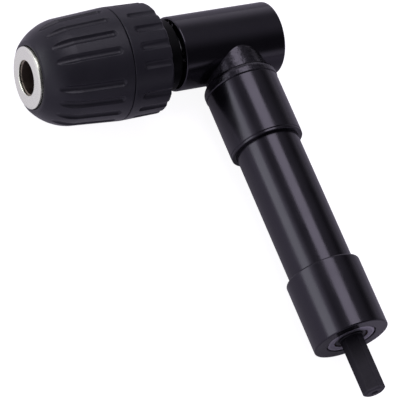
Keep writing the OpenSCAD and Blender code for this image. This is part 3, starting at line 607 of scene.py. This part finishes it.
# Bearing and shank at the collar's end
def race(name, face_r, land_r, sunk, look, node, body):
    """One bearing ring: face_r is its seat, land_r the shoulder beside the ball track. The outer
    ring's face is stepped, which draws the dark line round the bearing."""
    front = BEARING_FACE - sunk
    middle = BEARING_FACE - BEARING_W / 2
    side = 1 if face_r > land_r else -1
    sweep = math.acos(abs(land_r - BALL_PITCH_R) / TRACK_R)
    track = [(middle + TRACK_R * math.sin(sweep * t),
              BALL_PITCH_R + side * TRACK_R * math.cos(sweep * t))
             for t in np.linspace(1, -1, TRACK_STEPS)]
    edge = [(front, face_r, 0.2)]
    if side == 1:
        edge = [(front - FACE_STEP_START, face_r, 0.1),
                (front - FACE_STEP_DEPTH, face_r - FACE_STEP_W, 0.05),
                (front, face_r - FACE_STEP_W, 0.08)]
    ring = rounded([(BEARING_REAR, land_r, 0.15), (BEARING_REAR, face_r, 0.3), *edge,
                    (front, land_r, 0.03)])
    piece(lathe(name, ring + track, on_input), look, body, node)


race("bearing_outer_ring", OUTER_R, OUTER_LAND_R, 0.0, race_steel,
     "lower_bearing_outer", "housing")
# Painted shade: the inner ring is bearing steel, but gets the black spring finish for the shade of
# the shank over it
race("bearing_inner_ring", INNER_R, INNER_LAND_R, INNER_SUNK, black_spring_and_painted_shade,
     "lower_bearing_inner", "input_shaft")
shield = lathe("bearing_shield_pressed", rounded([
    (BEARING_FACE - SHIELD_T, SHIELD_HOLE_R, 0.05), (BEARING_FACE - SHIELD_T, SHIELD_R, 0.05),
    (BEARING_FACE, SHIELD_R, 0.02), (BEARING_FACE, SHIELD_LIP_R, 0.1),
    (BEARING_FACE - SHIELD_LIP, SHIELD_HOLE_R, 0.03)]), on_input)
piece(shield, shield_steel, "housing", "lower_bearing_shield")

shank = hex_bar("shank_turned", HEX_START, HEX_END)
combine(shank, solid_bar("chamfer", [
    (COLLAR_END - HEX_OVER, HEX_R + HEX_OVER),
    (HEX_END - (HEX_CHAMFER + HEX_OVER) * CHAMFER_TAN, HEX_R + HEX_OVER),
    (HEX_END, HEX_R - HEX_CHAMFER)], on_input), "INTERSECT")
combine(shank, solid_bar("shaft", [
    (SHAFT_START, GEAR_SEAT_R), (GEAR_SEAT_END, GEAR_SEAT_R, 0.1), (GEAR_SEAT_END, JOURNAL_R, 0.1),
    (UPPER_SEAT_END, JOURNAL_R, 0.1), (UPPER_SEAT_END, SHAFT_R, 0.2), (BEARING_REAR, SHAFT_R, 0.2),
    (BEARING_REAR, JOURNAL_R, 0.1), (SHAFT_END, JOURNAL_R, 0.3)], on_input), "UNION")
combine(shank, solid_bar("centre", [
    (HEX_END - CENTRE_DEPTH, CENTRE_TIP_R), (HEX_END - CENTRE_DEPTH + CENTRE_CONE, CENTRE_R),
    (HEX_END - CENTRE_SINK, CENTRE_R), (HEX_END + CENTRE_PAST, CENTRE_R + CENTRE_FLARE)],
    on_input), "DIFFERENCE")
shank.data.shade_smooth()
shank.data.set_sharp_from_angle(angle=HEX_SHARP)
even = shank.modifiers.new("even_normals", "WEIGHTED_NORMAL")
even.keep_sharp = True
piece(shank, hexed, "input_shaft", "input_shaft")

# Chuck
flute_centres = [math.radians(FLUTE_GAP_AT + 360 * (group + 0.5) / FLUTE_GROUPS
                              + FLUTE_PITCH * (i - (FLUTES_IN_GROUP - 1) / 2))
                 for group in range(FLUTE_GROUPS) for i in range(FLUTES_IN_GROUP)]
notch_centres = [a + math.radians(NOTCH_GAP_AT - FLUTE_GAP_AT) for a in flute_centres]

# The nose's round is one arc about the chuck axis, from the taper's end to the nose face
nose_centre = ((GRIP_END ** 2 + NOSE_EDGE_R ** 2 - TAPER_END ** 2 - TAPER_END_R ** 2)
               / (2 * (GRIP_END - TAPER_END)))
nose_radius = math.hypot(TAPER_END - nose_centre, TAPER_END_R)
tip_r = math.sqrt(nose_radius ** 2 - (FLUTE_TIP - nose_centre) ** 2)

nose_arc = arc(nose_centre, 0, nose_radius, TAPER_END, GRIP_END - NOSE_ROUND, NOSE_STEPS)
front_outer = dense(rounded([(SLEEVE_START, WALL_R), (SLEEVE_START, SEAM_R, 0.35),
                             (TAPER_END, TAPER_END_R)], closed=False)[1:])[:-1] + nose_arc
front_inner = rounded([
    (GRIP_END, GRIP_FACE_R), (GRIP_END, NOSE_SEAT_R, 0.15), (NOSE_SEAT, NOSE_SEAT_R, 0.1),
    (NOSE_SEAT, BODY_BORE_R, 0.1), (NUT_ROOM_END, BODY_BORE_R),
    (NUT_ROOM_END, NUT_ROOM_END_R, 0.2), (NUT_ROOM_START, NUT_ROOM_START_R, 0.2),
    (NUT_ROOM_START, SLEEVE_BORE_R, 0.2), (SLEEVE_START, SLEEVE_BORE_R, 0.2)], closed=False)
rear_outer = dense(rounded([(CHUCK_REAR, REAR_FACE_R), (CHUCK_REAR, RING_REAR_R, 1.1),
                            (SEAM, SEAM_R, 0.35), (SEAM, WALL_R)], closed=False))
rear_inner = rounded([
    (SEAM, RING_GRIP_R, 0.2), (RING_GRIP_START, RING_GRIP_R, 0.1),
    (RING_GRIP_START, RING_BORE_R, 0.1), (RING_WALL_END, RING_BORE_R, 0.3),
    (RING_WALL_END, RING_HOLE_R, 0.1), (CHUCK_REAR, RING_HOLE_R, 0.2)], closed=False)


def scooped(r, cut, weight=1.0):
    """Radius r less the depth of a cut, with the cut's edges eased."""
    eased = 0.5 * (cut + math.sqrt(cut * cut + CUT_LIP * CUT_LIP))
    return r - weight * eased + weight * CUT_LIP ** 2 / 4 / max(CUT_LIP, abs(cut))


def nearest(angle, centres):
    return min(abs((angle - c + math.pi) % (2 * math.pi) - math.pi) for c in centres)


def flute_floor(s):
    """Radius of the flute's floor at a station."""
    if s < TAPER_END:
        return TAPER_END_R + (TAPER_END - s) * TAPER_SLOPE - FLUTE_DEPTH
    fade = (TAPER_END_R - FLUTE_DEPTH - tip_r) / (FLUTE_TIP - TAPER_END)
    return TAPER_END_R - FLUTE_DEPTH - (s - TAPER_END) * fade


def front_shape(s, r, row, angle):
    """The front sleeve's radius: flutes with a round start, which run out at their tips."""
    if row >= len(front_outer) or not FLUTE_START - FLUTE_W <= s <= FLUTE_TIP + 1:
        return r
    across = nearest(angle, flute_centres) * r
    if across > FLUTE_W:
        return r
    centre = FLUTE_START + FLUTE_W / 2
    if s < centre:
        across = math.hypot(across, centre - s)
    depth = r - flute_floor(s)
    return scooped(r, depth - FLUTE_DEPTH * (abs(across) / (FLUTE_W / 2)) ** CUT_POWER)


def rear_shape(s, r, row, angle):
    """The rear ring's radius: notches with a round end, open to the ring's rear face."""
    if row >= len(rear_outer) or s > NOTCH_START + NOTCH_W:
        return r
    across = nearest(angle, notch_centres) * r
    if across > NOTCH_W:
        return r
    centre = NOTCH_START - NOTCH_W / 2
    if s > centre:
        across = math.hypot(across, s - centre)
    on_face = s < CHUCK_REAR + ON_FACE
    weight = min(1, max(0, (r - RING_BORE_R) / NOTCH_FADE)) if on_face else 1
    rise = min(1, max(0, (NOTCH_START - s) / (NOTCH_START - CHUCK_REAR)))
    depth = NOTCH_DEPTH + (NOTCH_BACK_DEPTH - NOTCH_DEPTH) * rise
    return scooped(r, depth * (1 - (abs(across) / (NOTCH_W / 2)) ** CUT_POWER), weight)


front = lathe("front_sleeve_moulded", front_outer + front_inner, on_output, FLUTED_STEPS,
              front_shape)
piece(front, plastic, "chuck_sleeve", "chuck_front_sleeve")
rear = lathe("rear_ring_moulded", rear_outer + rear_inner, on_output, FLUTED_STEPS, rear_shape)
piece(rear, plastic, "output_spindle", "chuck_rear_ring")

nose = lathe("nose_ring_turned", rounded([
    (NOSE_REAR, NOSE_RING_R, 0.1), (NOSE_FACE - NOSE_BEVEL, NOSE_RING_R, 0.1),
    (NOSE_FACE, NOSE_RING_R - NOSE_BEVEL_W, 0.06), (NOSE_FACE, NOSE_HOLE_R, 0.25),
    (NOSE_STEP, NOSE_HOLE_R, 0.05), (NOSE_STEP, NOSE_STEP_R, 0.05),
    (NOSE_REAR, NOSE_STEP_R, 0.05)]), on_output)
piece(nose, nose_zinc, "output_spindle", "nose_ring")

dust = lathe("dust_collar_moulded", rounded([
    (DUST_START, DUST_HOLE_R, 0.1), (DUST_START, DUST_R, 0.5), (DUST_END, DUST_R, 0.5),
    (DUST_END, DUST_BORE_R, 0.1), (DUST_FLOOR_END, DUST_BORE_R, 0.1),
    (DUST_FLOOR_END, DUST_HOLE_R, 0.1)]), on_output)
piece(dust, dust_plastic, "output_spindle", "dust_collar")

# Camera
EYE = Vector((-358.24, -213.07, 589.51)) * MM
RIGHT = Vector((0.8749, -0.3607, 0.3230))
DOWN = Vector((-0.1733, -0.8562, -0.4867))
FOCAL_PX, FRAME_PX, SENSOR_MM = 2360.5, 400, 36.0
back = RIGHT.cross(-DOWN).normalized()
up = back.cross(RIGHT).normalized()
right = up.cross(back)
cam_data = bpy.data.cameras.new("photo_camera")
cam_data.sensor_width = SENSOR_MM
cam_data.lens = FOCAL_PX / FRAME_PX * SENSOR_MM
cam_data.clip_start, cam_data.clip_end = 0.01, 50
cam = bpy.data.objects.new("photo_camera", cam_data)
bpy.context.scene.collection.objects.link(cam)
cam.matrix_world = Matrix.Translation(EYE) @ Matrix((right, up, back)).transposed().to_4x4()
bpy.context.scene.camera = cam

# Floor
FLOOR_HALF, FLOOR_CELLS = 6.0, 8         # half its width in metres
EDGE_IN = 0.4            # a turned edge touches the floor this far in from its face
LEAN_ROUNDS = 8


def resting_plane():
    """The plane that the part lies on: it touches the chuck's widest ring, the rear edge of the
    head and the end of the lower collar. The lean moves each ring's lowest point, so it takes a
    few rounds to settle."""
    rings = [((-SEAM, SHAFT_Y), SEAM_R, "output"),
             ((HEAD_REAR - EDGE_IN, SHAFT_Y), HEAD_R, "output"),
             ((0, EDGE_IN), COLLAR_R, "input")]
    slope_x = slope_y = 0.0
    for _ in range(LEAN_ROUNDS):
        rows, low = [], []
        for (x, y), r, axis in rings:
            lean = slope_y if axis == "output" else slope_x
            rows.append((x, y, 1))
            low.append(-r * math.sqrt(1 + lean * lean))
        slope_x, slope_y, level = np.linalg.solve(np.array(rows, float), np.array(low))
    return slope_x, slope_y, level


slope_x, slope_y, level = resting_plane()
normal = Vector((-slope_x, -slope_y, 1)).normalized()
bm = bmesh.new()
bmesh.ops.create_grid(bm, x_segments=FLOOR_CELLS, y_segments=FLOOR_CELLS, size=FLOOR_HALF)
floor_mesh = bpy.data.meshes.new("studio_floor")
bm.to_mesh(floor_mesh)
bm.free()
floor = bpy.data.objects.new("studio_floor", floor_mesh)
bpy.context.scene.collection.objects.link(floor)
floor.matrix_world = (Matrix.Translation((0, 0, level * MM))
                      @ Vector((0, 0, 1)).rotation_difference(normal).to_matrix().to_4x4())

WHITE = (1, 1, 1)
PAPER_GLOW, PAPER_GLOW_TINT = 0.9, (0.92, 0.86, 1.0)
SHADE_X, SHADE_CORE, SHADE_EDGE, SHADE_GLOW = 0.012, 0.015, 0.05, 0.2
LEFT_X, LEFT_GLOW, RIGHT_X, RIGHT_GLOW = -0.1, 0.42, 0.1, 0.12
paper = Look("studio_paper")
paper.set(Roughness=0.9, Specular_IOR_Level=0.1)
paper.colour(paper.mix(paper.noise(6, 3), (0.335, 0.318, 0.375), (0.345, 0.328, 0.385)))
seen, mirrored = paper.rays()
paper.link(paper.mix(seen, PAPER_GLOW_TINT, WHITE), paper.shader.inputs["Emission Color"])
# Painted light: in reflections its glow falls off towards the right, away from the left softbox,
# and a painted shade dims it along the tube
floor_x = paper.split(paper.coords)[0]
beside_tube = paper.math("ABSOLUTE", paper.math("SUBTRACT", floor_x, SHADE_X))
shade = paper.step(beside_tube, SHADE_CORE, SHADE_EDGE, SHADE_GLOW, 1.0)
falling_off = paper.ramp(floor_x, LEFT_X, RIGHT_X, LEFT_GLOW, RIGHT_GLOW)
glow = paper.math("MAXIMUM", paper.math("MULTIPLY", seen, PAPER_GLOW),
                  paper.math("MULTIPLY", mirrored, paper.math("MULTIPLY", shade, falling_off)))
paper.link(glow, paper.shader.inputs["Emission Strength"])
# Seen from below the floor is clear, so that it never hides the part from a low view
one_sided = paper.add("ShaderNodeMixShader")
paper.link(paper.add("ShaderNodeNewGeometry").outputs["Backfacing"], one_sided.inputs[0])
paper.link(paper.shader.outputs["BSDF"], one_sided.inputs[1])
paper.link(paper.add("ShaderNodeBsdfTransparent").outputs["BSDF"], one_sided.inputs[2])
paper.link(one_sided.outputs["Shader"], paper.tree.nodes["Material Output"].inputs["Surface"])
floor.data.materials.append(paper.mat)

# Lamps
LAMP_TARGET = Vector((-0.015, 0.06, 0))


def lamp(name, direction, distance, width, height, radiance, tint):
    """A softbox that faces the part; radiance is its brightness as the part sees it."""
    data = bpy.data.lights.new(name, "AREA")
    data.shape = "RECTANGLE"
    data.size, data.size_y = width, height
    data.energy = radiance * math.pi * width * height
    data.color = tint
    obj = bpy.data.objects.new(name, data)
    bpy.context.scene.collection.objects.link(obj)
    obj.location = LAMP_TARGET + Vector(direction).normalized() * distance
    obj.rotation_euler = (obj.location - LAMP_TARGET).to_track_quat("Z", "Y").to_euler()


lamp("top_softbox", direction=(-0.015, 0.40, 0.90), distance=0.95, width=0.5, height=0.75,
     radiance=3.2, tint=(0.98, 0.94, 1.0))
lamp("left_softbox", direction=(-0.95, 0.30, 0.24), distance=1.1, width=0.9, height=0.54,
     radiance=1.95, tint=(0.93, 1.0, 0.92))

# World
WORLD_TINT = (0.95, 0.9, 1.03)
# Gloss shows pale walls round the floor, in a room that is darker elsewhere. Each wall is the
# product of two steps over the direction: axis, low, high, and what it gives at low and at high.
ROOM = 0.05
WALLS = {
    "behind": (("Y", 0.3, 0.9, 0.0, 0.75), ("Z", 0.25, 0.95, 1.0, 0.0)),
    "beside": (("X", 0.3, 0.9, 0.0, 0.5), ("Z", 0.0, 0.5, 1.0, 0.0)),
    "before": (("Y", -0.85, -0.5, 0.6, 0.0), ("Z", 0.18, 0.38, 1.0, 0.0)),
    "left": (("X", -0.75, -0.4, 1.1, 0.0), ("Z", 0.45, 0.75, 1.0, 0.0)),
    "above": (("Z", 0.5, 0.85, 0.0, 0.3), ("Y", -0.5, 0.1, 0.0, 1.0)),
}
# Matte surfaces get a plain ambient light, stronger from the shank's side
AMBIENT = ("Y", -0.9, 0.1, 0.9, 0.34)
world = bpy.data.worlds.new("studio")
bpy.context.scene.world = world
world.use_nodes = True
sky = Tree(world.node_tree)
toward = sky.split(sky.add("ShaderNodeTexCoord").outputs["Generated"])


def sky_step(axis, *bounds):
    return sky.step(toward[axis], *bounds)


walls = ROOM
for first, second in WALLS.values():
    walls = sky.math("ADD", sky.math("MULTIPLY", sky_step(*first), sky_step(*second)), walls)
seen, mirrored = sky.rays()
ambient = sky_step(*AMBIENT)
lit = sky.math("MULTIPLY_ADD", mirrored, sky.math("SUBTRACT", walls, ambient), ambient)
background = world.node_tree.nodes["Background"]
sky.link(sky.mix(seen, WORLD_TINT, WHITE), background.inputs["Color"])
sky.link(sky.math("MAXIMUM", lit, seen), background.inputs["Strength"])

bpy.context.scene.view_settings.view_transform = "Standard"
